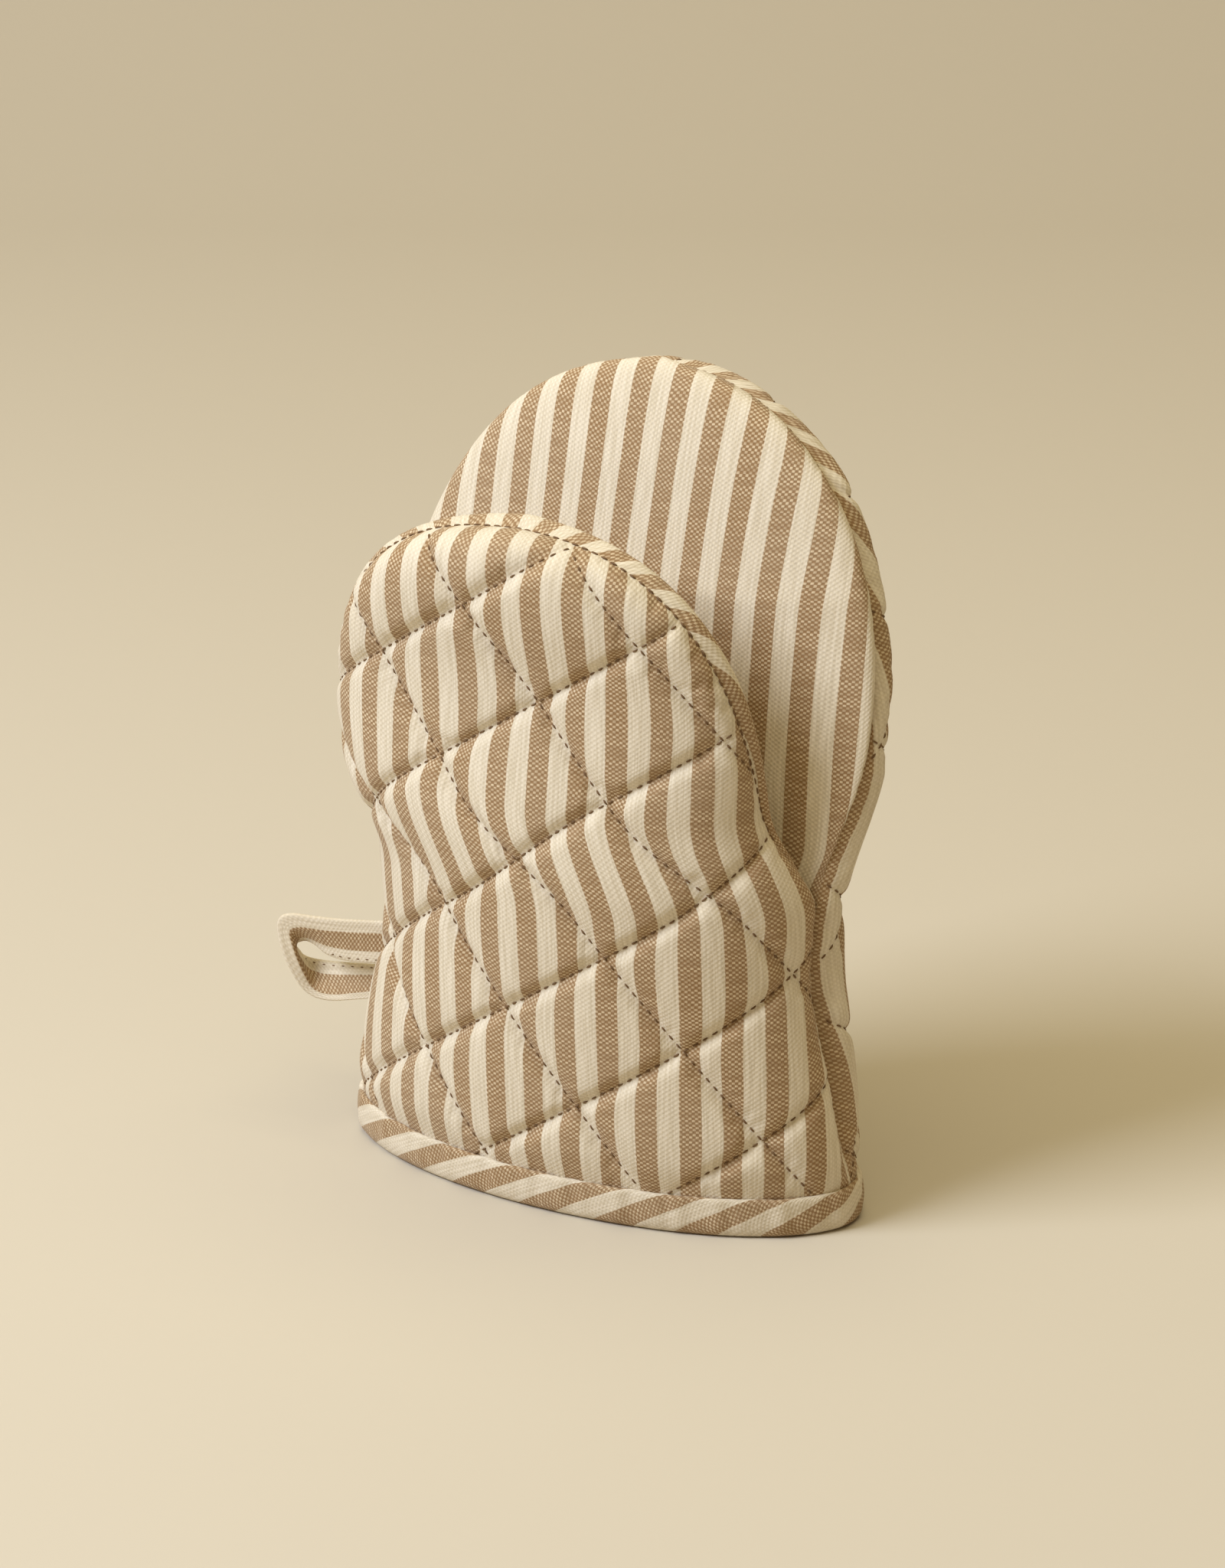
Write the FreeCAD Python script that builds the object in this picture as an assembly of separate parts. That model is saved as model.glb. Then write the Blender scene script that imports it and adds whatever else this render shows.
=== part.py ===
import FreeCAD, Part
import math
import os

# Two-pocket oven mitt standing on its open cuff. Units are millimetres, +Z is up.
# X runs along the crotch fold, the thumb pocket is on the -Y side, the finger pocket on +Y.
# The origin is the centre of the hand opening, on the surface that the hem stands on.

# Driving dimensions: cuff
CUFF_HEIGHT = 72.0            # hem to crotch fold, which is also the height of both hinge lines
HEM_HALF_WIDTH = 64.0
HEM_HALF_DEPTH = 29.8
WAIST_HALF_WIDTH = 51.3
WAIST_HALF_DEPTH = 30.9

# Driving dimensions: pockets, measured upwards from the crotch fold
THUMB = {
    "side": -1, "height": 89.3, "half_width": 56.7, "flare_height": 22.4, "roundness": 2.36,
    "lean": 0.4256, "lean_fade": 0.0013, "shift_x": -6.5, "outer_bulge": 13.0, "palm_bulge": 11.0,
    "bulge_flare": 58.0, "swing_deg": 30.0,
}
FINGER = {
    "side": 1, "height": 112.2, "half_width": 63.4, "flare_height": 35.6, "roundness": 2.12,
    "lean": 0.353, "lean_fade": 0.0009, "shift_x": 0.9, "outer_bulge": 15.0, "palm_bulge": 12.0,
    "bulge_flare": 72.0, "swing_deg": 20.0,
}
BULGE_ROUNDNESS = 2.3
PALM_RISE = 0.95              # part of the free lean that the palm bulge may use near the fold
CLOSING_DEG = 4.5             # half of the open V between the palms at rest

# Driving dimensions: cloth layers
COVER = 0.6
WADDING = 4.0
LINING = 0.4
WALL = COVER + WADDING + LINING
LAYERS = (("cover", 0.0, COVER), ("wadding", COVER, COVER + WADDING), ("lining", COVER + WADDING, WALL))
EDGE_INSET = 1.3              # how much further a layer steps in along X than across it
CORNER_FADE = 25.0            # height over which the layers' corners move back to the seam

# Driving dimensions: gaps, binding and loop
BODY_GAP = 0.3                # clearance between cloth that moves apart
FLEX_MARGIN = 1.5             # degrees of the flexing wedge beyond the pocket's swing
BINDING_HEIGHT = 9.0
BINDING_CLOTH = 0.8
LOOP_WIDTH = 10.5             # width of the flat tape
LOOP_CLOTH = 1.5              # thickness of the folded tape
LOOP_GAP = 5.0                # inside width of the loop
LOOP_REACH = 26.0             # from the side seam to the tip
LOOP_TOP = 49.0
LOOP_DROP = 11.5              # the rear end is sewn this much lower than the front end
LOOP_DIP = 4.5                # the front run comes this much lower towards the tip
LOOP_SPREAD = 5.0             # length over which the two ends part from each other
LOOP_ROOT_GAP = 1.9           # from the side seam to the free cloth of the loop
LOOP_BEND_STEPS = 8

# Construction values
ARC_POINTS = 9
ARC_POWER = 1.1
TOP_STEPS = (0.0, 0.07, 0.14, 0.21, 0.29, 0.38, 0.48, 0.58, 0.68, 0.78, 0.87, 0.94, 0.98)
CUFF_STEPS = 6
SEAM_POINTS = 13
SEAM_OFFSET = 0.5             # the palm panel wraps this far round the pocket's edge
OVERRUN = 5.0                 # how far a cutting solid passes the material
FAR = 150.0                   # beyond every side of the mitt


def smooth(t):
    """Smoothstep from 0 to 1."""
    t = min(max(t, 0.0), 1.0)
    return t * t * (3.0 - 2.0 * t)


def profile(h, height, start, full, flare, roundness):
    """Size that grows from start to full at the flare, then closes as a round top."""
    if h < flare:
        return start + (full - start) * smooth(h / flare)
    q = min((h - flare) / (height - flare), 1.0)
    return full * (1.0 - q ** roundness) ** (1.0 / roundness)


def seam_y(pocket, h):
    """Distance of a pocket's side seam from the crotch plane."""
    return pocket["side"] * (BODY_GAP + pocket["lean"] * h - pocket["lean_fade"] * h * h)


def arc_edge(centre_x, half_width, y_ends, bulge, z):
    """Curved edge from -X to +X between two seam points."""
    points = []
    for i in range(ARC_POINTS):
        angle = math.pi * (i / (ARC_POINTS - 1.0) - 0.5)
        x = centre_x + half_width * math.sin(angle)
        y = y_ends + bulge * max(math.cos(angle), 0.0) ** ARC_POWER
        points.append(FreeCAD.Vector(x, y, z))
    curve = Part.BSplineCurve()
    curve.interpolate(points)
    return curve.toShape()


def section(centre_x, half_width, y_ends, bulge_low, bulge_high, z):
    """Closed lens wire: one edge towards -Y, one towards +Y."""
    low = arc_edge(centre_x, half_width, y_ends, bulge_low, z)
    high = arc_edge(centre_x, half_width, y_ends, bulge_high, z)
    return Part.Wire([low, high])


def cuff_size(z):
    """Half width and half depth of the cuff at a height."""
    t = z / CUFF_HEIGHT
    width = HEM_HALF_WIDTH + (WAIST_HALF_WIDTH - HEM_HALF_WIDTH) * smooth(t)
    depth = HEM_HALF_DEPTH + (WAIST_HALF_DEPTH - HEM_HALF_DEPTH) * t
    return width, depth


def cuff_form(inset, bottom=BINDING_CLOTH, top=CUFF_HEIGHT):
    """Solid form of the cuff between two heights, a layer depth inside its outer face."""
    low = -OVERRUN
    high = CUFF_HEIGHT + OVERRUN
    wires = []
    for i in range(CUFF_STEPS + 1):
        z = low + (high - low) * i / CUFF_STEPS
        width, depth = cuff_size(min(max(z, 0.0), CUFF_HEIGHT))
        width -= EDGE_INSET * inset
        depth -= inset
        wires.append(section(0.0, width, 0.0, -depth, depth, z))
    slab = Part.makeBox(2.0 * FAR, 2.0 * FAR, top - bottom, FreeCAD.Vector(-FAR, -FAR, bottom))
    return Part.makeLoft(wires, True).common(slab)


def palm_bulge(pocket, h):
    """Bulge of the palm side, kept inside the open V between the palms."""
    free = pocket["lean"] * h - pocket["lean_fade"] * h * h - h * math.tan(math.radians(CLOSING_DEG))
    full = profile(h, pocket["height"], 0.0, pocket["palm_bulge"], pocket["flare_height"], BULGE_ROUNDNESS)
    return max(min(full, PALM_RISE * free), 0.0)


def pocket_form(pocket, inset):
    """Solid form of a pocket, a layer depth inside its outer face."""
    side = pocket["side"]
    height = pocket["height"] - inset
    wires = []
    for step in TOP_STEPS:
        h = height * math.sin(step * math.pi / 2.0)
        corner = 1.0 - smooth(h / CORNER_FADE)
        width = profile(h, height, WAIST_HALF_WIDTH, pocket["half_width"], pocket["flare_height"],
                        pocket["roundness"])
        width -= EDGE_INSET * inset * min(width / WAIST_HALF_WIDTH, 1.0)
        fullness = min(width / WAIST_HALF_WIDTH, 1.0)
        outer = profile(h, height, WAIST_HALF_DEPTH, pocket["outer_bulge"], pocket["bulge_flare"],
                        BULGE_ROUNDNESS)
        outer -= inset * (fullness + corner)
        palm = palm_bulge(pocket, h) - inset * fullness * (1.0 - corner)
        ends = seam_y(pocket, h) + side * inset * corner
        shift = pocket["shift_x"] * smooth(h / pocket["flare_height"])
        low = -palm if side > 0 else -outer
        high = outer if side > 0 else palm
        wires.append(section(shift, width, ends, low, high, CUFF_HEIGHT + max(h, BODY_GAP)))
    return Part.makeLoft(wires, True)


def across(outline):
    """Prism across the whole width from a closed outline of edges in the plane x = -FAR."""
    face = Part.Face(Part.Wire(outline))
    return face.extrude(FreeCAD.Vector(2.0 * FAR, 0.0, 0.0))


def outline_edges(points):
    """Straight edges through (y, z) points in the plane x = -FAR."""
    corners = [FreeCAD.Vector(-FAR, y, z) for y, z in points]
    return [Part.makeLine(start, end) for start, end in zip(corners, corners[1:])]


def palm_side_prism(pocket):
    """Space on the palm side of a pocket's side seam."""
    side = pocket["side"]
    top = pocket["height"] + OVERRUN
    points = []
    for i in range(SEAM_POINTS):
        h = top * i / (SEAM_POINTS - 1.0)
        corner = 1.0 - smooth(h / CORNER_FADE)
        y = seam_y(pocket, h) + side * (WALL * corner + SEAM_OFFSET)
        points.append(FreeCAD.Vector(-FAR, y, CUFF_HEIGHT + h))
    seam = Part.BSplineCurve()
    seam.interpolate(points)
    first, last = points[0], points[-1]
    low = CUFF_HEIGHT - OVERRUN
    rest = outline_edges([(last.y, last.z), (-side * FAR, last.z), (-side * FAR, low), (first.y, low),
                          (first.y, first.z)])
    return across([seam.toShape()] + rest)


def flex_prism(pocket):
    """Wedge under a pocket that bends when the pocket swings outwards."""
    reach = pocket["side"] * FAR
    drop = FAR * math.tan(math.radians(pocket["swing_deg"] + FLEX_MARGIN))
    low = CUFF_HEIGHT - FLEX_MARGIN
    top = CUFF_HEIGHT + OVERRUN
    return across(outline_edges([(0.0, low), (reach, low - drop), (reach, top), (0.0, top), (0.0, low)]))


def half_space(side):
    """Everything on one side of the crotch plane."""
    corner = FreeCAD.Vector(-FAR, min(side, 0) * FAR, -FAR)
    return Part.makeBox(2.0 * FAR, FAR, 4.0 * FAR, corner)


def pocket_parts(pocket, name):
    """Outer panel and palm panel of a pocket, layer by layer."""
    forms = {inset: pocket_form(pocket, inset) for inset in (0.0, COVER, COVER + WADDING, WALL)}
    palm_side = palm_side_prism(pocket)
    parts = {}
    for layer, outside, inside in LAYERS:
        shell = forms[outside].cut(forms[inside])
        parts[name + "_palm_" + layer] = shell.common(palm_side)
        parts[name + "_outer_" + layer] = shell.cut(palm_side)
    return parts


def cuff_parts(pocket, name):
    """Cuff panel under a pocket and its flexing wedge, layer by layer."""
    wedge = flex_prism(pocket)
    half = half_space(pocket["side"])
    parts = {}
    for layer, outside, inside in LAYERS:
        shell = cuff_form(outside).cut(cuff_form(inside)).common(half)
        parts[name + "_cuff_" + layer] = shell.cut(wedge)
        parts[name + "_flex_" + layer] = shell.common(wedge)
    return parts


def fold_parts():
    """Bottom of the palm panel, where it turns under from one pocket to the other."""
    room = cuff_form(WALL + BODY_GAP)
    axis = FreeCAD.Vector(1.0, 0.0, 0.0)
    start = FreeCAD.Vector(-FAR / 2.0, 0.0, CUFF_HEIGHT)
    parts = {}
    for layer, outside, inside in LAYERS:
        outer = Part.makeCylinder(BODY_GAP + inside, FAR, start, axis)
        inner = Part.makeCylinder(BODY_GAP + outside, FAR, start, axis)
        parts["palm_fold_" + layer] = outer.cut(inner).common(room)
    return parts


def cuff_binding():
    """Bias tape folded over the hem: outside, underneath and inside."""
    tape = cuff_form(-BINDING_CLOTH, 0.0, BINDING_HEIGHT).cut(cuff_form(WALL + BINDING_CLOTH, 0.0))
    return tape.cut(cuff_form(0.0).cut(cuff_form(WALL)))


def tape_section(x, y, z, normal_x, normal_y, top_shift=0.0):
    """Flat section of the tape on its edge, with its thickness along a given direction."""
    half = LOOP_CLOTH / 2.0
    corners = []
    for side, rise, shift in ((-half, 0.0, 0.0), (half, 0.0, 0.0), (half, LOOP_WIDTH, top_shift),
                              (-half, LOOP_WIDTH, top_shift)):
        corners.append(FreeCAD.Vector(x + shift + side * normal_x, y + side * normal_y, z + rise))
    return Part.makePolygon(corners + corners[:1])


def tape_root(low, y, normal_y):
    """End section of the tape, cut parallel to the sloping side seam."""
    bottom = -cuff_size(low)[0] - LOOP_ROOT_GAP
    top = -cuff_size(low + LOOP_WIDTH)[0] - LOOP_ROOT_GAP
    return tape_section(bottom, y, low, 0.0, normal_y, top - bottom)


def hanging_loop():
    """Tape folded in two at the side seam, its rear end sewn lower than its front end."""
    front_low = LOOP_TOP - LOOP_WIDTH
    rear_low = front_low - LOOP_DROP
    radius = (LOOP_GAP + LOOP_CLOTH) / 2.0
    root_y = LOOP_CLOTH / 2.0 + BODY_GAP
    root = -cuff_size(rear_low)[0] - LOOP_ROOT_GAP
    spread = root - LOOP_SPREAD
    bend = root - LOOP_REACH + radius + LOOP_CLOTH / 2.0
    wires = [tape_root(front_low, -root_y, 1.0), tape_section(spread, -radius, front_low, 0.0, 1.0)]
    for i in range(LOOP_BEND_STEPS + 1):
        angle = math.pi * i / LOOP_BEND_STEPS
        out_x = -math.sin(angle)
        out_y = -math.cos(angle)
        z = front_low - LOOP_DIP - (LOOP_DROP - LOOP_DIP) * smooth(i / LOOP_BEND_STEPS)
        wires.append(tape_section(bend + radius * out_x, radius * out_y, z, -out_x, -out_y))
    wires.append(tape_section(spread, radius, rear_low, 0.0, -1.0))
    wires.append(tape_root(rear_low, root_y, -1.0))
    return Part.makeLoft(wires, True, True)


def mitt():
    """Every piece of the mitt, by node name."""
    parts = {}
    parts.update(cuff_parts(THUMB, "front"))
    parts.update(cuff_parts(FINGER, "back"))
    parts.update(fold_parts())
    parts.update(pocket_parts(THUMB, "thumb"))
    parts.update(pocket_parts(FINGER, "finger"))
    parts["cuff_binding"] = cuff_binding()
    parts["hanging_loop"] = hanging_loop()
    return parts


os.makedirs("parts", exist_ok=True)
for node, shape in mitt().items():
    shape.exportStep("parts/" + node + ".step")
    box = shape.BoundBox
    print(node, "valid", shape.isValid(), "solids", len(shape.Solids), "mm3", round(shape.Volume, 1),
          "box", [round(v, 1) for v in (box.XMin, box.XMax, box.YMin, box.YMax, box.ZMin, box.ZMax)])
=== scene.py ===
import math

import bpy
import numpy as np
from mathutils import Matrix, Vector, geometry
from mathutils.bvhtree import BVHTree


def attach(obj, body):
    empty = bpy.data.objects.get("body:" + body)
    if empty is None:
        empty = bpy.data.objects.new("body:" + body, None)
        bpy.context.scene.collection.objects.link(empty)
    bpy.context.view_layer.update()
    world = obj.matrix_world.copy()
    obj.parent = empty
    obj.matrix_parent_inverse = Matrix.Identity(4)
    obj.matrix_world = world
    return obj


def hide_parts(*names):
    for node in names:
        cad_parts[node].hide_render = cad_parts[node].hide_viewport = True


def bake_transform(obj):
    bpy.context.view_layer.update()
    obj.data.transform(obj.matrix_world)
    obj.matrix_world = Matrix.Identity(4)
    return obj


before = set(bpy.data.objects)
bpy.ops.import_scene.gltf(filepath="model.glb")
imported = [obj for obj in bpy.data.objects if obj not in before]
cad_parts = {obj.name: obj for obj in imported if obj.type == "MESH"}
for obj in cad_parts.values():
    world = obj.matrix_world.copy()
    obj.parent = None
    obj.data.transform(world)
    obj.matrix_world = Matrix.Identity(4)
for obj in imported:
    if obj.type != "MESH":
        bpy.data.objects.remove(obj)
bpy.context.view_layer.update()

# ---- dimensions, in millimetres
MM = 0.001
CUFF_HEIGHT = 72.0
HEM_WIDTH, HEM_DEPTH = 63.5, 28.6  # half sizes of the cuff at the hem
NARROW_WIDTH, NARROW_HEIGHT = 51.8, 50.0  # the cuff widens again above this height
WAIST_WIDTH, WAIST_DEPTH = 53.8, 31.5  # half sizes of the cuff at the crotch

# A pocket: height above the crotch, half width, height of its widest place, roundness of its tip,
# lean of its side seam and how the lean fades, sideways shift, bulge of the outer and the palm side,
# height of the outer side's fullest place, how far the seam stands forward and the share of that which
# is left at the tip, and how far the outer cloth rolls past the seam.
THUMB = dict(side=-1, height=86.8, width=55.9, flare=24.3, round=2.41, lean=0.4316, fade=0.0014,
             shift=-7.8, outer=12.0, palm=11.0, bulge_flare=58.0, forward=2.4, forward_top=1.0, back_roll=0.0)
FINGER = dict(side=1, height=113.8, width=62.9, flare=35.5, round=2.09, lean=0.3784, fade=0.0010,
              shift=0.3, outer=14.0, palm=12.0, bulge_flare=72.0, forward=1.0, forward_top=0.0, back_roll=3.2)
BULGE_ROUND = 3.0  # roundness of the bulge towards the tip
SOFT_START = 9.0  # height over which a pocket begins to lean
FORWARD_START = 18.0  # height over which the seam comes forward
FORWARD_HIGH, FORWARD_RUN = 0.55, 0.35  # shares of the height where that changes towards the tip
OUTER_POWER = 1.05  # shape of a section on the outer side
PALM_POWER = 0.9  # shape of a section on the palm side
OPEN_V = math.tan(math.radians(4.8))  # half of the open V between the palms
PALM_GAP, PALM_GAP_START = 0.3, 6.0  # how far the seams part, and the height over which they do
SEAM_INSET = 3.4  # the palm cloth rolls this far past the seam
ROLL_REACH = 5.5  # distance from the seam at which the palm cloth stands out most
ROLL_START = 14.0  # height over which the roll grows from the crotch
BACK_REACH = 5.0  # the same distance for the outer cloth
BACK_START, BACK_WIDTH = 40.0, 40.0  # height and half width over which that roll grows
POCKET_MIDDLE = 12.0  # the middle of a pocket lies this far above its widest place

QUILT_A = np.array([17.35, -20.43])  # from one crossing of the quilting lines to the next
QUILT_B = np.array([24.82, 16.13])
QUILT_ORIGIN = np.array([7.7, 120.7])
QUILT_STEPS = 18  # mesh steps from crossing to crossing
QUILT_REACH = 9  # crossings to each side of the origin
PUFF = 1.3  # wadding above the stitch lines before the pressure
PUFF_POWER = 0.3  # the lower, the flatter the tops of the puffs
PUFF_CAP = 1.75  # height above which the blown-up puffs are pushed back
PUFF_EDGE = 3.6  # distance from a seam over which the puffs grow
SEAM_PINCH = 1.3  # how deep the side seams of the cuff pull the cloth in
PINCH_REACH = 1.6  # distance from the seam over which that fades
STRIPE = 9.15  # one cream and one brown stripe

WALL = 5.0  # outer cloth, wadding and lining together
EDGE_INSET = 1.3  # at the side seams the lining is set in this many times as far
LINING_SLACK = 6.0  # the lining hangs clear of the crease at the waist
SLACK_FROM, SLACK_IN = 36.0, 14.0  # height where the slack begins, and over which it grows
SLACK_TO, SLACK_OUT = 76.0, 18.0  # height where it begins to end, and over which it ends
BINDING_HEIGHT = 9.0

# ---- shape functions


def smooth(t):
    """Even step from 0 to 1."""
    t = np.clip(t, 0.0, 1.0)
    return t * t * (3.0 - 2.0 * t)


def profile(h, height, start, full, flare, rounding):
    """Half size over the height: from start to full at the flare, then closing round to the tip."""
    q = np.clip((h - flare) / (height - flare), 0.0, 1.0)
    rising = start + (full - start) * smooth(h / flare)
    closing = full * np.maximum(1.0 - q ** rounding, 0.0) ** (1.0 / rounding)
    return np.where(h < flare, rising, closing)


def cuff_width(z):
    """Half width of the cuff at a height."""
    narrow = HEM_WIDTH + (NARROW_WIDTH - HEM_WIDTH) * smooth(z / CUFF_HEIGHT)
    return narrow + (WAIST_WIDTH - NARROW_WIDTH) * smooth((z - NARROW_HEIGHT) / (CUFF_HEIGHT - NARROW_HEIGHT))


def lean_y(pocket, h):
    """How far a pocket's side seam has leaned from the crotch plane."""
    run = np.sqrt(h * h + SOFT_START ** 2) - SOFT_START
    return pocket["lean"] * run - pocket["fade"] * h * h


def forward(pocket, h):
    """How far the side seam stands forward of its leaning line."""
    top = pocket["height"] - SEAM_INSET
    full = profile(h, top, WAIST_DEPTH, pocket["outer"], pocket["bulge_flare"], BULGE_ROUND)
    high = smooth((h / pocket["height"] - FORWARD_HIGH) / FORWARD_RUN)
    share = 1.0 + (pocket["forward_top"] - 1.0) * high
    return pocket["forward"] * share * smooth(h / FORWARD_START) * np.clip(full / pocket["outer"], 0.0, 1.0)


def crease_slack(z):
    """How much further in the lining hangs behind the crease."""
    return LINING_SLACK * (smooth((z - SLACK_FROM) / SLACK_IN) - smooth((z - SLACK_TO) / SLACK_OUT))


def outer_point(pocket, angle, z, inset=0.0):
    """Outer face of the mitt on one side, from the hem to the pocket's tip."""
    side = pocket["side"]
    h = np.maximum(z - CUFF_HEIGHT, 0.0)
    low = np.clip(z / CUFF_HEIGHT, 0.0, 1.0)
    cuff_w = cuff_width(z) - EDGE_INSET * inset
    slack = crease_slack(z) if inset else 0.0
    cuff_b = HEM_DEPTH + (WAIST_DEPTH - HEM_DEPTH) * low - inset - slack
    top = pocket["height"] - SEAM_INSET - inset
    width = profile(h, top, WAIST_WIDTH, pocket["width"] - SEAM_INSET, pocket["flare"], pocket["round"])
    width = width - EDGE_INSET * inset * np.minimum(width / WAIST_WIDTH, 1.0)
    bulge = profile(h, top, WAIST_DEPTH, pocket["outer"], pocket["bulge_flare"], BULGE_ROUND)
    bulge = bulge - forward(pocket, h) - (inset + slack) * np.minimum(bulge / pocket["outer"], 1.0)
    on_cuff = z < CUFF_HEIGHT
    w = np.where(on_cuff, cuff_w, width)
    b = np.where(on_cuff, cuff_b, bulge)
    shift = pocket["shift"] * smooth(h / pocket["flare"])
    x = shift + w * np.sin(angle)
    ends = side * (lean_y(pocket, h) + forward(pocket, h) + PALM_GAP * smooth(h / PALM_GAP_START))
    depth = b * np.maximum(np.cos(angle), 0.0) ** OUTER_POWER
    if inset == 0.0:
        # the outer cloth rolls past the side seam before it turns onto the face
        reach = np.hypot(w * (1.0 - np.abs(np.sin(angle))), depth) / BACK_REACH
        held = smooth((z - BINDING_HEIGHT) / BACK_START) * np.minimum(w / BACK_WIDTH, 1.0)
        x = x + np.sign(angle) * pocket["back_roll"] * held * reach * np.exp(1.0 - reach)
    return np.stack(np.broadcast_arrays(x, ends + side * depth, z), -1)


def palm_point(pocket, angle, z, inset=0.0):
    """Palm face of a pocket, from the crotch fold to the tip."""
    side = pocket["side"]
    h = np.maximum(z - CUFF_HEIGHT, 0.0)
    top = pocket["height"] - SEAM_INSET - inset
    width = profile(h, top, WAIST_WIDTH, pocket["width"] - SEAM_INSET, pocket["flare"], pocket["round"])
    width = width - EDGE_INSET * inset * np.minimum(width / WAIST_WIDTH, 1.0)
    full = profile(h, pocket["height"] - SEAM_INSET, 0.0, pocket["palm"], pocket["flare"], BULGE_ROUND)
    free = np.maximum(lean_y(pocket, h) - h * OPEN_V, 0.0)
    ahead = forward(pocket, h)
    bulge = np.minimum(full, free) + ahead - inset
    shift = pocket["shift"] * smooth(h / pocket["flare"])
    x = shift + width * np.sin(angle)
    ends = lean_y(pocket, h) + ahead + PALM_GAP * smooth(h / PALM_GAP_START)
    y = side * (ends - bulge * np.maximum(np.cos(angle), 0.0) ** PALM_POWER)
    return np.stack(np.broadcast_arrays(x, y, z), -1)


class Panel:
    """A cut of cloth over a curved face, by its flat coordinates: across and along."""

    ANGLES = 181
    COLUMNS = 240
    CUFF_ROWS, POCKET_ROWS = 80, 180
    NORMAL_STEP = 0.4

    def __init__(self, point, pocket, inset=0.0, palm=False):
        steps = np.sin(np.linspace(0.0, 1.0, self.POCKET_ROWS) * np.pi / 2.0)
        heights = CUFF_HEIGHT + (pocket["height"] - SEAM_INSET - inset) * steps
        if not palm:
            heights = np.concatenate([np.linspace(0.0, CUFF_HEIGHT, self.CUFF_ROWS)[:-1], heights])
        angle = np.linspace(-np.pi / 2.0, np.pi / 2.0, self.ANGLES)
        grid = point(pocket, angle[None, :], heights[:, None], inset)
        runs = np.linalg.norm(np.diff(grid, axis=1), axis=-1)
        across = np.concatenate([np.zeros((len(heights), 1)), np.cumsum(runs, 1)], 1)
        middle = self.ANGLES // 2
        rises = np.linalg.norm(np.diff(grid[:, middle], axis=0), axis=-1)
        self.along = np.concatenate([[0.0], np.cumsum(rises)])
        share = np.linspace(0.0, 1.0, self.COLUMNS + 1)
        rows = []
        for row, length in zip(grid, across):
            at = share * max(length[-1], 1e-9)
            rows.append(np.stack([np.interp(at, length, row[:, k]) for k in range(3)], -1))
        self.grid = np.array(rows)
        self.half = across[:, -1] / 2.0

    def at(self, flat):
        """Points in space for flat coordinates."""
        s, t = flat[:, 0], flat[:, 1]
        row = np.clip(np.searchsorted(self.along, t) - 1, 0, len(self.along) - 2)
        f = np.clip((t - self.along[row]) / (self.along[row + 1] - self.along[row]), 0.0, 1.0)
        half = np.maximum(self.half[row] * (1.0 - f) + self.half[row + 1] * f, 1e-6)
        column = np.clip((s / half + 1.0) / 2.0, 0.0, 1.0) * self.COLUMNS
        c = np.minimum(column.astype(int), self.COLUMNS - 1)
        g = (column - c)[:, None]
        f = f[:, None]
        low = self.grid[row, c] * (1.0 - g) + self.grid[row, c + 1] * g
        high = self.grid[row + 1, c] * (1.0 - g) + self.grid[row + 1, c + 1] * g
        return low * (1.0 - f) + high * f

    def normal(self, flat, side):
        """Unit normals out of the mitt for flat coordinates."""
        step = self.NORMAL_STEP
        across = self.at(flat + (step, 0.0)) - self.at(flat - (step, 0.0))
        up = self.at(flat + (0.0, step)) - self.at(flat - (0.0, step))
        out = np.cross(across, up) * -side
        return out / np.maximum(np.linalg.norm(out, axis=1), 1e-9)[:, None]

    def outline(self, step, start=0.0):
        """Closed outline in flat coordinates, evenly spaced along the seam."""
        t = np.interp(np.linspace(0, 1, 3000), np.linspace(0, 1, len(self.along)), self.along)
        t = t[t >= start]
        right = np.stack([np.interp(t, self.along, self.half), t], -1)
        space = self.at(right)
        length = np.concatenate([[0.0], np.cumsum(np.linalg.norm(np.diff(space, axis=0), axis=1))])
        at = np.linspace(0.0, length[-1], int(length[-1] / step) + 1)
        right = np.stack([np.interp(at, length, right[:, k]) for k in (0, 1)], -1)
        right[-1] = (0.0, self.along[-1])
        left = right[:-1][::-1] * (-1.0, 1.0)
        width = right[0, 0]
        count = int(2.0 * width / step)
        bottom = np.stack([np.linspace(-width, width, count + 1)[1:-1], np.full(count - 1, right[0, 1])], -1)
        return np.concatenate([right, left, bottom])


def inside(points, polygon):
    """Which points lie inside a closed polygon."""
    x, y = points[:, 0], points[:, 1]
    result = np.zeros(len(points), bool)
    for (x0, y0), (x1, y1) in zip(polygon, np.roll(polygon, -1, 0)):
        if y0 != y1:
            hit = ((y0 > y) != (y1 > y)) & (x < (x1 - x0) * (y - y0) / (y1 - y0) + x0)
            result ^= hit
    return result


def edge_distance(points, polygon):
    """Distance in the plane from points to a closed polygon."""
    best = np.full(len(points), 1e9)
    for a, b in zip(polygon, np.roll(polygon, -1, 0)):
        run = b - a
        size = max(float(run @ run), 1e-12)
        k = np.clip(((points - a) @ run) / size, 0.0, 1.0)[:, None]
        best = np.minimum(best, np.linalg.norm(points - a - k * run, axis=1))
    return best


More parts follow.
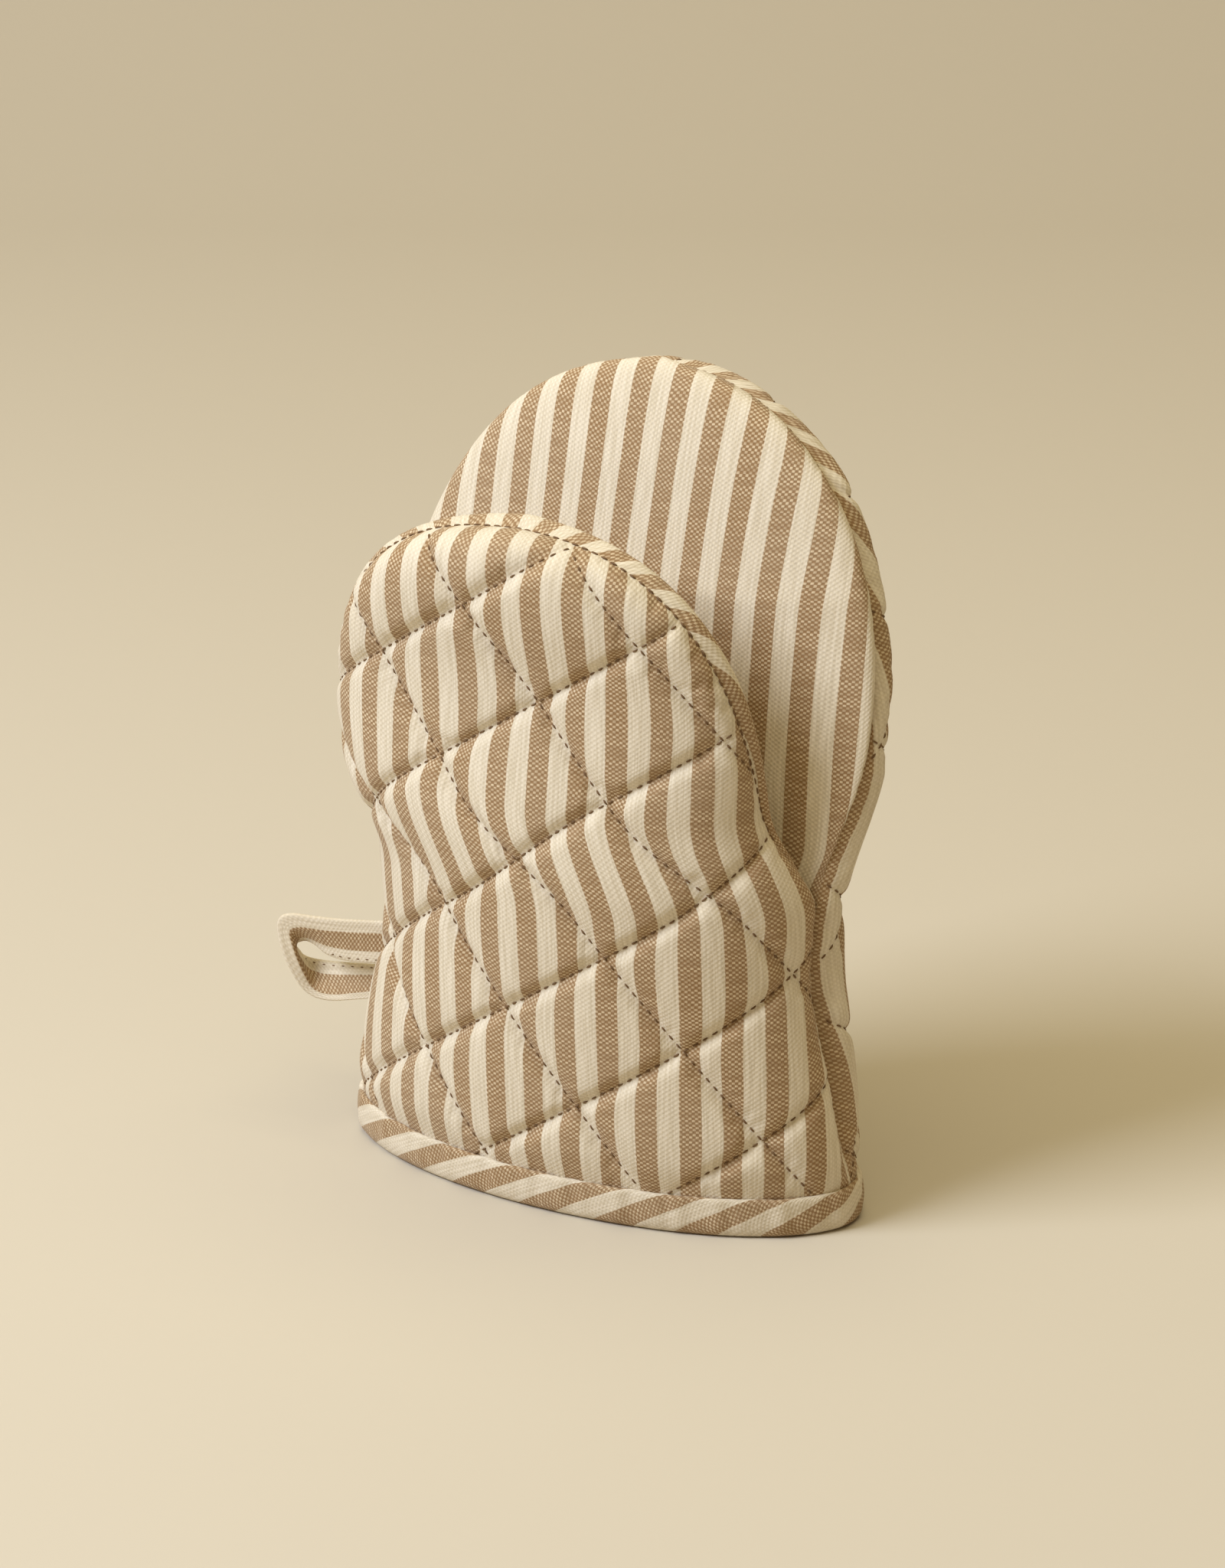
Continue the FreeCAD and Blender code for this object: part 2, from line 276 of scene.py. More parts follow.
def lattice(origin, a, b, outline, clearance):
    """Points of a sloping grid inside an outline, with their grid numbers."""
    low, high = outline.min(0), outline.max(0)
    corners = np.array([low, high, (low[0], high[1]), (high[0], low[1])]) - origin
    basis = np.stack([a, b], 1)
    index = np.linalg.solve(basis, corners.T).T
    i = np.arange(math.floor(index[:, 0].min()), math.ceil(index[:, 0].max()) + 1)
    j = np.arange(math.floor(index[:, 1].min()), math.ceil(index[:, 1].max()) + 1)
    ij = np.stack(np.meshgrid(i, j, indexing="ij"), -1).reshape(-1, 2)
    points = origin + ij @ basis.T
    keep = inside(points, outline)
    points, ij = points[keep], ij[keep]
    keep = edge_distance(points, outline) > clearance
    return points[keep], ij[keep]


def even_grid(step, outline, clearance):
    """Points in rows of equal triangles inside an outline."""
    across, up = np.array([step, 0.0]), np.array([step / 2, step * 0.866])
    return lattice(np.zeros(2), across, up, outline, clearance)[0]


def triangulate(outline, points):
    """Triangles over an outline and the points inside it, and where each point came from."""
    flat = np.concatenate([outline, points])
    loop = list(range(len(outline)))
    out = geometry.delaunay_2d_cdt([Vector(p) for p in flat], [], [loop], 1, 1e-5)
    source = [group[0] if group else -1 for group in out[3]]
    flat = np.array([tuple(v) for v in out[0]])
    return flat, [tuple(f) for f in out[2]], np.array(source)


# ---- mesh helpers
scene = bpy.context.scene


def new_object(name, points, faces, uv=None):
    """A new smooth mesh piece from millimetres, with one UV for each point."""
    mesh = bpy.data.meshes.new(name)
    mesh.from_pydata([tuple(p) for p in np.asarray(points) * MM], [], faces)
    if uv is not None:
        layer = mesh.uv_layers.new(name="flat")
        index = np.zeros(len(mesh.loops), int)
        mesh.loops.foreach_get("vertex_index", index)
        layer.data.foreach_set("uv", np.asarray(uv)[index].astype(np.float32).ravel())
    mesh.polygons.foreach_set("use_smooth", [True] * len(mesh.polygons))
    mesh.update()
    piece = bpy.data.objects.new(name, mesh)
    scene.collection.objects.link(piece)
    return piece


def vertex_values(mesh, field):
    values = np.zeros(len(mesh.vertices) * 3, np.float32)
    mesh.vertices.foreach_get(field, values)
    return values.reshape(-1, 3).astype(float)


def points_of(mesh):
    return vertex_values(mesh, "co")


def normals_of(mesh):
    return vertex_values(mesh, "normal")


def apply_modifiers(piece):
    """Keeps the evaluated mesh and takes the modifiers away."""
    graph = bpy.context.evaluated_depsgraph_get()
    mesh = bpy.data.meshes.new_from_object(piece.evaluated_get(graph), preserve_all_data_layers=True,
                                           depsgraph=graph)
    piece.modifiers.clear()
    piece.data = mesh


def finish_surface(piece, levels=1):
    """Subdivides a piece for good."""
    mod = piece.modifiers.new("Subdivision", "SUBSURF")
    mod.levels = levels
    mod.render_levels = levels
    mod.boundary_smooth = "PRESERVE_CORNERS"
    apply_modifiers(piece)


# ---- materials


def node(tree, kind, **values):
    """A new shader node, with its settings and the values of its sockets."""
    made = tree.nodes.new(kind)
    for key, value in values.items():
        if key == "inputs":
            for name, v in value.items():
                made.inputs[name].default_value = v
        else:
            setattr(made, key, value)
    return made


def math_node(tree, operation, a, b=None, clamp=False):
    made = tree.nodes.new("ShaderNodeMath")
    made.operation = operation
    made.use_clamp = clamp
    for slot, value in ((0, a), (1, b)):
        if value is None:
            continue
        if isinstance(value, (int, float)):
            made.inputs[slot].default_value = value
        else:
            tree.links.new(value, made.inputs[slot])
    return made.outputs[0]


def mix_colour(tree, factor, a, b):
    made = tree.nodes.new("ShaderNodeMix")
    made.data_type = "RGBA"
    for slot, value in ((0, factor), (6, a), (7, b)):
        if isinstance(value, (int, float, tuple)):
            made.inputs[slot].default_value = value
        else:
            tree.links.new(value, made.inputs[slot])
    return made.outputs[2]


def ramp(tree, value, low, high):
    made = tree.nodes.new("ShaderNodeMapRange")
    made.interpolation_type = "SMOOTHSTEP"
    made.inputs["From Min"].default_value = low
    made.inputs["From Max"].default_value = high
    tree.links.new(value, made.inputs["Value"])
    return made.outputs["Result"]


def base_material(name, roughness, sheen):
    """A cloth-like material, its node tree and its shader."""
    material = bpy.data.materials.new(name)
    material.use_nodes = True
    tree = material.node_tree
    shader = tree.nodes["Principled BSDF"]
    shader.inputs["Roughness"].default_value = roughness
    shader.inputs["Sheen Weight"].default_value = sheen
    shader.inputs["Sheen Roughness"].default_value = 0.5
    shader.inputs["Specular IOR Level"].default_value = 0.25
    return material, tree, shader


WARP, WEFT = 1.35, 1.05  # millimetres between yarns that show on the same face
UV_MM = 100.0  # millimetres of cloth in one unit of UV
SLUB_SCALE = (190.0, 9.0, 1.0)  # streaks along the warp
PICK_SCALE = (12.0, 130.0, 1.0)  # streaks along the weft
JAG = 0.16  # how far the edges of the stripes wander
STRIPE_BLUR = 0.08


def streaks(tree, uv, scale):
    """Noise drawn out along one set of yarns."""
    noise = node(tree, "ShaderNodeTexNoise", noise_dimensions="2D", inputs={"Scale": 1.0, "Detail": 2.0})
    stretch = node(tree, "ShaderNodeMapping", inputs={"Scale": scale})
    tree.links.new(uv, stretch.inputs["Vector"])
    tree.links.new(stretch.outputs[0], noise.inputs["Vector"])
    return ramp(tree, noise.outputs["Fac"], 0.3, 0.7)


def stripes(tree, uv, across):
    """0 on the cream stripes and 1 on the brown ones, with slightly ragged edges."""
    wave = math_node(tree, "COSINE", math_node(tree, "MULTIPLY", across, 2.0 * math.pi / STRIPE))
    jag = node(tree, "ShaderNodeTexNoise", noise_dimensions="2D", inputs={"Scale": 150.0, "Detail": 1.0})
    tree.links.new(uv, jag.inputs["Vector"])
    ragged = math_node(tree, "MULTIPLY", math_node(tree, "SUBTRACT", jag.outputs["Fac"], 0.5), JAG)
    return ramp(tree, math_node(tree, "ADD", wave, ragged), -STRIPE_BLUR, STRIPE_BLUR)


def woven(name, striped, cream, cream_gap, brown, brown_light):
    """Plain-woven cloth, either ticking with brown stripes or all cream."""
    material, tree, shader = base_material(name, 0.85, 0.08)
    uv = node(tree, "ShaderNodeUVMap", uv_map="flat").outputs[0]
    split = tree.nodes.new("ShaderNodeSeparateXYZ")
    tree.links.new(uv, split.inputs[0])
    across = math_node(tree, "MULTIPLY", split.outputs[0], UV_MM)
    along = math_node(tree, "MULTIPLY", split.outputs[1], UV_MM)

    # slight wander of the yarns
    wander = node(tree, "ShaderNodeTexNoise", noise_dimensions="2D", inputs={"Scale": 14.0, "Detail": 2.0})
    tree.links.new(uv, wander.inputs["Vector"])
    wobble = math_node(tree, "SUBTRACT", wander.outputs["Fac"], 0.5)
    x = math_node(tree, "ADD", across, math_node(tree, "MULTIPLY", wobble, 0.7))
    y = math_node(tree, "ADD", along, math_node(tree, "MULTIPLY", wobble, 0.9))

    # plain weave: the cream weft shows between the warp yarns in alternate places
    a = math_node(tree, "COSINE", math_node(tree, "MULTIPLY", x, 2.0 * math.pi / WARP))
    b = math_node(tree, "COSINE", math_node(tree, "MULTIPLY", y, 2.0 * math.pi / WEFT))
    weft = math_node(tree, "MULTIPLY", a, b)
    fleck = ramp(tree, weft, -0.25, 0.55)

    slubs = streaks(tree, uv, SLUB_SCALE)
    picks = streaks(tree, uv, PICK_SCALE)

    show = math_node(tree, "ADD", math_node(tree, "MULTIPLY", picks, 0.5), 0.42)
    brown_cloth = mix_colour(tree, math_node(tree, "MULTIPLY", fleck, show), brown, brown_light)
    dark_yarn = math_node(tree, "MULTIPLY", math_node(tree, "SUBTRACT", 1.0, fleck), 0.25)
    line = math_node(tree, "ADD", dark_yarn, math_node(tree, "MULTIPLY", slubs, 0.38))
    cream_cloth = mix_colour(tree, line, cream, cream_gap)
    colour = mix_colour(tree, stripes(tree, uv, across), cream_cloth, brown_cloth) if striped else cream_cloth
    soil = node(tree, "ShaderNodeTexNoise", inputs={"Scale": 3.0, "Detail": 4.0})
    tree.links.new(uv, soil.inputs["Vector"])
    shade = ramp(tree, soil.outputs["Fac"], 0.25, 0.75)
    dusty = tuple(0.72 * c for c in cream[:3]) + (1.0,)
    colour = mix_colour(tree, math_node(tree, "MULTIPLY", shade, 0.10), colour, dusty)
    tree.links.new(colour, shader.inputs["Base Color"])

    slub_height = math_node(tree, "MULTIPLY", slubs, 0.3)
    height = math_node(tree, "ADD", math_node(tree, "MULTIPLY", weft, 0.5), slub_height)
    bump = node(tree, "ShaderNodeBump", inputs={"Strength": 0.55, "Distance": 0.00014})
    tree.links.new(height, bump.inputs["Height"])
    tree.links.new(bump.outputs[0], shader.inputs["Normal"])
    return material


def linear(r, g, b):
    """Linear colour from 0 to 255 values as a screen shows them."""
    return tuple(((c / 255.0 + 0.055) / 1.055) ** 2.4 for c in (r, g, b)) + (1.0,)


CREAM = linear(230, 219, 197)
CREAM_GAP = linear(188, 173, 142)
BROWN = linear(144, 112, 74)
BROWN_LIGHT = linear(220, 200, 166)
LINING_CREAM = linear(236, 229, 211)
LINING_GAP = linear(205, 196, 172)
# Dark brown of all the stitches: partly the thread's colour, and partly painted shade of the needle holes
# along the stitch lines.
SHADED_THREAD_DARK = linear(98, 72, 46)
SHADED_THREAD_LIGHT = linear(128, 100, 68)
ticking = woven("ticking_cloth", True, CREAM, CREAM_GAP, BROWN, BROWN_LIGHT)
plain = woven("lining_cloth", False, LINING_CREAM, LINING_GAP, BROWN, BROWN_LIGHT)


def shaded_thread_material():
    """Thread in a dark brown that partly paints the shade of the needle holes along the stitch lines, with a
    slight change of colour along it.
    """
    material, tree, shader = base_material("stitch_thread_painted_shade", 0.6, 0.0)
    spin = node(tree, "ShaderNodeTexNoise", inputs={"Scale": 900.0, "Detail": 1.0})
    colour = mix_colour(tree, spin.outputs["Fac"], SHADED_THREAD_DARK, SHADED_THREAD_LIGHT)
    tree.links.new(colour, shader.inputs["Base Color"])
    return material


thread = shaded_thread_material()

# ---- cloth simulation
SIM_SCALE = 100.0  # the cloth solver works on a copy this many times as large
SIM_FRAMES = 20
PRESSURE = 6.0
CLOTH_GROWTH = 0.06  # share by which the cloth grows, so that it can puff up
PUSH_BACK = 0.85  # share of the height above the cap that is taken away


def inflate(piece, pinned, rest, normal, cap):
    """Blows a pinned cloth up with Blender's Cloth.

    Most of what stands above the cap is then pushed back, and nothing stays below its rest.
    """
    mesh = piece.data.copy()
    copy = bpy.data.objects.new(piece.name + "_cloth", mesh)
    scene.collection.objects.link(copy)
    mesh.vertices.foreach_set("co", (points_of(mesh) * SIM_SCALE).astype(np.float32).ravel())
    mesh.update()
    group = copy.vertex_groups.new(name="pinned")
    group.add([int(i) for i in np.nonzero(pinned)[0]], 1.0, "REPLACE")
    cloth = copy.modifiers.new("Cloth", "CLOTH")
    settings = cloth.settings
    settings.quality = 6
    settings.mass = 0.05
    settings.tension_stiffness = 20.0
    settings.compression_stiffness = 20.0
    settings.shear_stiffness = 10.0
    settings.bending_stiffness = 0.12
    settings.air_damping = 2.0
    settings.vertex_group_mass = "pinned"
    settings.shrink_min = -CLOTH_GROWTH
    settings.shrink_max = -CLOTH_GROWTH
    settings.use_pressure = True
    settings.uniform_pressure_force = PRESSURE
    settings.effector_weights.gravity = 0.0
    cloth.point_cache.frame_start = 1
    cloth.point_cache.frame_end = SIM_FRAMES
    for step in range(1, SIM_FRAMES + 1):
        scene.frame_set(step)
    graph = bpy.context.evaluated_depsgraph_get()
    result = points_of(copy.evaluated_get(graph).to_mesh()) / SIM_SCALE / MM
    bpy.data.objects.remove(copy)
    scene.frame_set(1)
    lift = ((result - rest) * normal).sum(1)
    over = np.maximum(lift - cap, 0.0) * PUSH_BACK + np.minimum(lift, 0.0)
    result -= normal * over[:, None]
    piece.data.vertices.foreach_set("co", (result * MM).astype(np.float32).ravel())
    piece.data.update()


# ---- quilted outer panels
EDGE_STEP = 1.45  # mesh step along a panel's outline
EDGE_CLEARANCE = 0.75  # least distance from the outline to a point of the grid
PANEL_START = 0.8  # the outer cloth ends this high, inside the binding
HEM_FADE = 9.0  # height over which the puffs grow above the binding
LEAST_CAP = 0.3  # play of the cloth where it is stitched down
BACK_SHIFT = (1.0, 1.1)  # the back's quilting starts higher up
BACK_PHASE = 2.0  # and its stripes lie this far to the side


def fade_near_hem(flat):
    """The cloth lies flat where the binding holds it."""
    return smooth((flat[:, 1] - BINDING_HEIGHT + 0.5) / HEM_FADE)


def seam_pinch(flat, border, height):
    """How far the side seams pull the cloth in, below the crotch only."""
    below = smooth((CUFF_HEIGHT + 4.0 - height) / 8.0)
    return SEAM_PINCH * np.exp(-border / PINCH_REACH) * fade_near_hem(flat) * below


def puff_height(ij, border, flat):
    """Height of the wadding above the stitch lines."""
    a = np.abs(np.sin(np.pi * ij[:, 0] / QUILT_STEPS))
    b = np.abs(np.sin(np.pi * ij[:, 1] / QUILT_STEPS))
    return PUFF * (a * b) ** PUFF_POWER * (1.0 - np.exp(-border / PUFF_EDGE)) * fade_near_hem(flat)


class Quilt:
    """A quilted outer panel: its piece, its flat cloth and its stitch lines."""

    def __init__(self, name, pocket, origin, phase):
        self.pocket, self.origin = pocket, np.asarray(origin)
        self.panel = Panel(outer_point, pocket)
        self.outline = self.panel.outline(EDGE_STEP, start=PANEL_START)
        a, b = QUILT_A / QUILT_STEPS, QUILT_B / QUILT_STEPS
        points, ij = lattice(self.origin, a, b, self.outline, EDGE_CLEARANCE)
        flat, faces, source = triangulate(self.outline, points)
        known = source >= len(self.outline)
        number = np.linalg.solve(np.stack([a, b], 1), (flat - self.origin).T).T
        number[known] = ij[source[known] - len(self.outline)]
        border = np.where(known, edge_distance(flat, self.outline), 0.0)
        rest = self.panel.at(flat)
        uv = np.stack([flat[:, 0] + phase, flat[:, 1]], -1) / UV_MM
        piece = new_object(name, rest, faces, uv)
        normal = normals_of(piece.data)
        if np.mean(normal[:, 1]) * pocket["side"] < 0:
            piece.data.flip_normals()
            normal = -normal
        pinch = seam_pinch(flat, border, rest[:, 2])
        rest = rest - np.sign(rest[:, :1]) * pinch[:, None] * (1.0, 0.0, 0.0)
        start = rest + normal * puff_height(number, border, flat)[:, None]
        piece.data.vertices.foreach_set("co", (start * MM).astype(np.float32).ravel())
        piece.data.update()
        on_line = (number % QUILT_STEPS < 1e-6).any(1)
        pinned = (border < 1e-6) | on_line | (flat[:, 1] < BINDING_HEIGHT + 0.8)
        cap = LEAST_CAP + PUFF_CAP * fade_near_hem(flat) * (1.0 - np.exp(-border / PUFF_EDGE))
        inflate(piece, pinned, rest, normal, cap)
        finish_surface(piece)
        piece.data.materials.append(ticking)
        self.piece = piece

    def lines(self, pitch):
        """Evenly spaced places along every quilting line inside the panel."""
        runs = []
        for along, across in ((QUILT_A, QUILT_B), (QUILT_B, QUILT_A)):
            length = np.linalg.norm(along)
            t = np.arange(-QUILT_REACH, QUILT_REACH, pitch / length)
            for k in range(-QUILT_REACH, QUILT_REACH + 1):
                flat = self.origin + k * across + t[:, None] * along
                keep = inside(flat, self.outline) & (flat[:, 1] > BINDING_HEIGHT + 0.6)
                flat = flat[keep]
                if len(flat) > 1:
                    flat = flat[edge_distance(flat, self.outline) > 0.8]
                if len(flat) > 1:
                    runs.append(flat)
        return runs


front_quilt = Quilt("front_panel", THUMB, QUILT_ORIGIN, 0.0)
back_quilt = Quilt("back_panel", FINGER, QUILT_ORIGIN * BACK_SHIFT, BACK_PHASE)
front, back = front_quilt.piece, back_quilt.piece

# ---- stitches
STITCH_PITCH = 2.5
QUILT_STITCH, QUILT_THREAD = 1.5, 0.22  # length and radius of a quilting stitch
QUILT_LIFT = 0.03
SEAM_STITCH, SEAM_THREAD = 1.7, 0.23
LOOP_STITCH, LOOP_THREAD = 1.2, 0.16


def surface_tree(piece):
    """Search tree of a piece's triangles, in millimetres."""
    mesh = piece.data
    mesh.calc_loop_triangles()
    index = np.zeros(len(mesh.loop_triangles) * 3, int)
    mesh.loop_triangles.foreach_get("vertices", index)
    points = [Vector(p) for p in points_of(mesh) / MM]
    return BVHTree.FromPolygons(points, index.reshape(-1, 3).tolist())


def stitch_mesh(name, stitches, radius):
    """Short rounded threads. A stitch is a centre, a direction, a normal and a length."""
    sides, rings = 6, (-1.0, -0.82, -0.4, 0.0, 0.4, 0.82, 1.0)
    verts, faces = [], []
    for centre, along, up, length in stitches:
        side = np.cross(along, up)
        first = len(verts)
        for u in rings:
            size = radius * (0.35 if abs(u) == 1.0 else 0.85 if abs(u) > 0.8 else 1.0)
            middle = centre + along * (u * length / 2.0) + up * (radius * (0.55 - 1.3 * u * u))
            for k in range(sides):
                turn = 2.0 * math.pi * k / sides
                verts.append(middle + size * (math.cos(turn) * side + math.sin(turn) * up))
        for r in range(len(rings) - 1):
            for k in range(sides):
                a = first + r * sides + k
                b = first + r * sides + (k + 1) % sides
                faces.append((a, b, b + sides, a + sides))
        faces.append(tuple(first + k for k in range(sides))[::-1])
        last = first + (len(rings) - 1) * sides
        faces.append(tuple(last + k for k in range(sides)))
    piece = new_object(name, verts, faces)
    piece.data.materials.append(thread)
    return piece


def lay_on(tree, points, normals):
    """Points moved onto a surface along their normals."""
    placed = []
    for point, normal in zip(points, normals):
        hit = tree.ray_cast(Vector(point + 6.0 * normal), Vector(-normal), 14.0)[0]
        placed.append(point if hit is None else np.array(hit))
    return np.array(placed)


def stitches_along(points, normals, length):
    """A stitch at each point, along the row of points."""
    along = np.gradient(points, axis=0)
    along /= np.maximum(np.linalg.norm(along, axis=1), 1e-9)[:, None]
    return [(p, a, n, length) for p, a, n in zip(points, along, normals)]


def quilting(name, quilt):
    """The stitches of a quilted panel, laid on its cloth."""
    tree = surface_tree(quilt.piece)
    stitches = []
    for flat in quilt.lines(STITCH_PITCH):
        normal = quilt.panel.normal(flat, quilt.pocket["side"])
        placed = lay_on(tree, quilt.panel.at(flat), normal)
        stitches += stitches_along(placed + QUILT_LIFT * normal, normal, QUILT_STITCH)
    return stitch_mesh(name, stitches, QUILT_THREAD)


front_quilting = quilting("front_quilting", front_quilt)
back_quilting = quilting("back_quilting", back_quilt)


# ---- palms
PALM_STEP = 1.6
PALM_CLEARANCE = 0.9
MOST_REACH = 12.0  # beyond this many reaches the roll is nothing


def pocket_middle(pocket):
    """Middle of a pocket seen from the front: across and up."""
    return np.array([pocket["shift"], CUFF_HEIGHT + pocket["flare"] + POCKET_MIDDLE])


def palm_panel(name, pocket, phase):
    """Palm cloth of a pocket, rolling past the seam at its edge."""
    panel = Panel(palm_point, pocket, palm=True)
    outline = panel.outline(PALM_STEP)
    flat, faces, source = triangulate(outline, even_grid(PALM_STEP, outline, PALM_CLEARANCE))
    border = np.where(source >= len(outline), edge_distance(flat, outline), 0.0)
    space = panel.at(flat)
    # direction away from the middle of the pocket, in the plane of its outline
    height = np.maximum(space[:, 2] - CUFF_HEIGHT, 0.0)
    low = smooth(height / ROLL_START)
    away = space[:, (0, 2)] - pocket_middle(pocket)
    away[:, 1] = np.maximum(away[:, 1], 0.0)
    away /= np.maximum(np.linalg.norm(away, axis=1), 1e-6)[:, None]
    reach = np.clip(border / ROLL_REACH, 0.0, MOST_REACH)
    roll = SEAM_INSET * reach * np.exp(1.0 - reach) * low
    space[:, 0] += away[:, 0] * roll
    space[:, 2] += away[:, 1] * roll
    uv = np.stack([flat[:, 0] + phase, flat[:, 1]], -1) / UV_MM
    piece = new_object(name, space, faces, uv)
    if np.mean(normals_of(piece.data)[:, 1]) * pocket["side"] > 0:
        piece.data.flip_normals()
    finish_surface(piece)
    piece.data.materials.append(ticking)
    return piece


palm_thumb = palm_panel("palm_thumb", THUMB, 3.0)
palm_finger = palm_panel("palm_finger", FINGER, 1.7)


# ---- seam threads
SEAM_FROM = 16.0  # height above the crotch where the seam's stitches begin
SEAM_TILT = 1.2  # how much more they face front or back than outwards
THUMB_RISE, FINGER_RISE = 0.15, -0.25  # how far the threads stand out of the seam


def seam_threads(name, quilt, rise):
    """Stitches in the seam between the outer panel and the palm."""
    pocket, line = quilt.pocket, quilt.outline
    first = np.searchsorted(quilt.panel.grid[:, 0, 2], CUFF_HEIGHT + SEAM_FROM)
    top = line[:, 1] > quilt.panel.along[first]
    count = int(np.argmax(line[:, 1])) * 2 + 1
    line, top = line[:count], top[:count]
    points = quilt.panel.at(line)[top]
    length = np.concatenate([[0.0], np.cumsum(np.linalg.norm(np.diff(points, axis=0), axis=1))])
    at = np.arange(1.0, length[-1] - 1.0, STITCH_PITCH)
    points = np.stack([np.interp(at, length, points[:, k]) for k in range(3)], -1)
    out = points.copy()
    out[:, (0, 2)] -= pocket_middle(pocket)
    out[:, 1] = pocket["side"] * np.linalg.norm(out[:, (0, 2)], axis=1) * SEAM_TILT
    out /= np.linalg.norm(out, axis=1)[:, None]
    return stitch_mesh(name, stitches_along(points + rise * out, out, SEAM_STITCH), SEAM_THREAD)


thumb_seam = seam_threads("thumb_seam_thread", front_quilt, THUMB_RISE)
finger_seam = seam_threads("finger_seam_thread", back_quilt, FINGER_RISE)

# ---- binding
BIAS = math.radians(28.5)
BINDING_SAMPLES = 400  # points round the hem
# profile of the folded tape: how far out of the cuff's face, and how high
BINDING_PROFILE = [(-0.5, 8.3), (0.05, 9.1), (0.7, 9.35), (1.25, 9.0), (1.45, 8.2), (1.5, 7.0),
                   (1.6, 5.4), (1.65, 3.8), (1.55, 2.2), (1.2, 0.9), (0.4, 0.2), (-0.8, 0.0),
                   (-2.5, 0.05), (-4.4, 0.0), (-5.5, 0.25), (-6.2, 1.0), (-6.45, 2.4), (-6.4, 4.4),
                   (-6.3, 6.4), (-6.2, 8.0), (-5.8, 8.8), (-5.2, 8.6)]
RIPPLES = ((0.16, 23, 0.7), (0.13, 41, 2.1), (0.08, 67, 0.0))  # height, waves round the hem, phase
INNER_RIPPLE = -0.6  # share of the ripples on the inside of the tape


def cuff_ring(out, z, samples):
    """Closed line round the cuff at a height, a distance out of its face."""
    angle = np.linspace(-np.pi / 2.0, np.pi / 2.0, 721)
    low = np.clip(z / CUFF_HEIGHT, 0.0, 1.0)
    width = cuff_width(z) + (EDGE_INSET if out < 0 else 1.0) * out
    depth = HEM_DEPTH + (WAIST_DEPTH - HEM_DEPTH) * low + out
    x = width * np.sin(angle)
    y = -depth * np.maximum(np.cos(angle), 0.0) ** OUTER_POWER
    line = np.stack([x, y], -1)
    line = np.concatenate([line, (line * (1.0, -1.0))[::-1][1:]])
    length = np.concatenate([[0.0], np.cumsum(np.linalg.norm(np.diff(line, axis=0), axis=1))])
    at = np.linspace(0.0, length[-1], samples + 1)[:-1]
    ring = np.stack([np.interp(at, length, line[:, k]) for k in (0, 1)], -1)
    return np.concatenate([ring, np.full((samples, 1), z)], 1), at


def cuff_binding():
    """Striped tape on the bias, folded over the hem."""
    samples = BINDING_SAMPLES
    rows, uvs = [], []
    height = 0.0
    previous = None
    phase = 2.0 * np.pi * np.arange(samples) / samples
    ripple = sum(size * np.sin(waves * phase + start) for size, waves, start in RIPPLES)
    for out, z in BINDING_PROFILE:
        ring, at = cuff_ring(out, z, samples)
        if previous is not None:
            height += math.dist(previous, (out, z))
        previous = (out, z)
        normal = ring[:, :2] * (1.0 / HEM_WIDTH ** 2, 1.0 / HEM_DEPTH ** 2)
        normal /= np.linalg.norm(normal, axis=1)[:, None]
        bulge = ripple * smooth((z - 0.5) / 2.0) * (1.0 if out > 0 else INNER_RIPPLE)
        ring[:, :2] += normal * bulge[:, None]
        rows.append(ring)
        uvs.append(np.stack([-at * math.sin(BIAS) - height * math.cos(BIAS),
                             at * math.cos(BIAS) - height * math.sin(BIAS)], -1) / UV_MM)
    verts = np.concatenate(rows)
    faces, loops = [], []
    # one more column of UVs, so that the pattern runs on to where the ring closes
    uvs = [np.concatenate([uv, [uv[0] + (uv[-1] - uv[0]) * samples / (samples - 1.0)]]) for uv in uvs]
    for r in range(len(rows) - 1):
        for k in range(samples):
            nxt = (k + 1) % samples
            faces.append((r * samples + k, (r + 1) * samples + k, (r + 1) * samples + nxt, r * samples + nxt))
            loops += [uvs[r][k], uvs[r + 1][k], uvs[r + 1][k + 1], uvs[r][k + 1]]
    piece = new_object("cuff_binding_tape", verts, faces)
    layer = piece.data.uv_layers.new(name="flat")
    layer.data.foreach_set("uv", np.array(loops).astype(np.float32).ravel())
    finish_surface(piece)
    piece.data.materials.append(ticking)
    return piece


binding = cuff_binding()

# ---- hanging loop
LOOP_FRONT = 50.0  # where the front run starts, inside the side seam
LOOP_REAR = 60.0  # where the rear run ends
LOOP_TIP = 86.5  # how far the tip stands out from the middle of the mitt
LOOP_KNEE = 14.5  # length of the turned tip
LOOP_TOP = 49.5  # height of the tape's outer edge at the seam
LOOP_DIP = 3.0  # fall of the front run towards the tip
LOOP_HANG = 22.7  # height of the tip
LOOP_LIFT = 4.7  # rise of the rear run towards the seam
LOOP_CREAM = 3.1  # width of the stripe between the outer edge and the fold
LOOP_REST = 7.1  # width of the tape from the fold to its inner edge
LOOP_SWAY = 3.5  # how far the tip turns to the front
LOOP_ARC = 14  # points in each round corner
LOOP_CUT = 0.42  # share of a run that each round corner takes
LOOP_HALF, LOOP_ROLL = 0.42, 0.3  # half thickness of the tape, and how much its edges add
LOOP_LANE = 0.5  # the topstitches lie this far out of the middle of the tape
LOOP_SEWN = (0.36, 0.68)  # shares of the length where the first row ends and the second begins


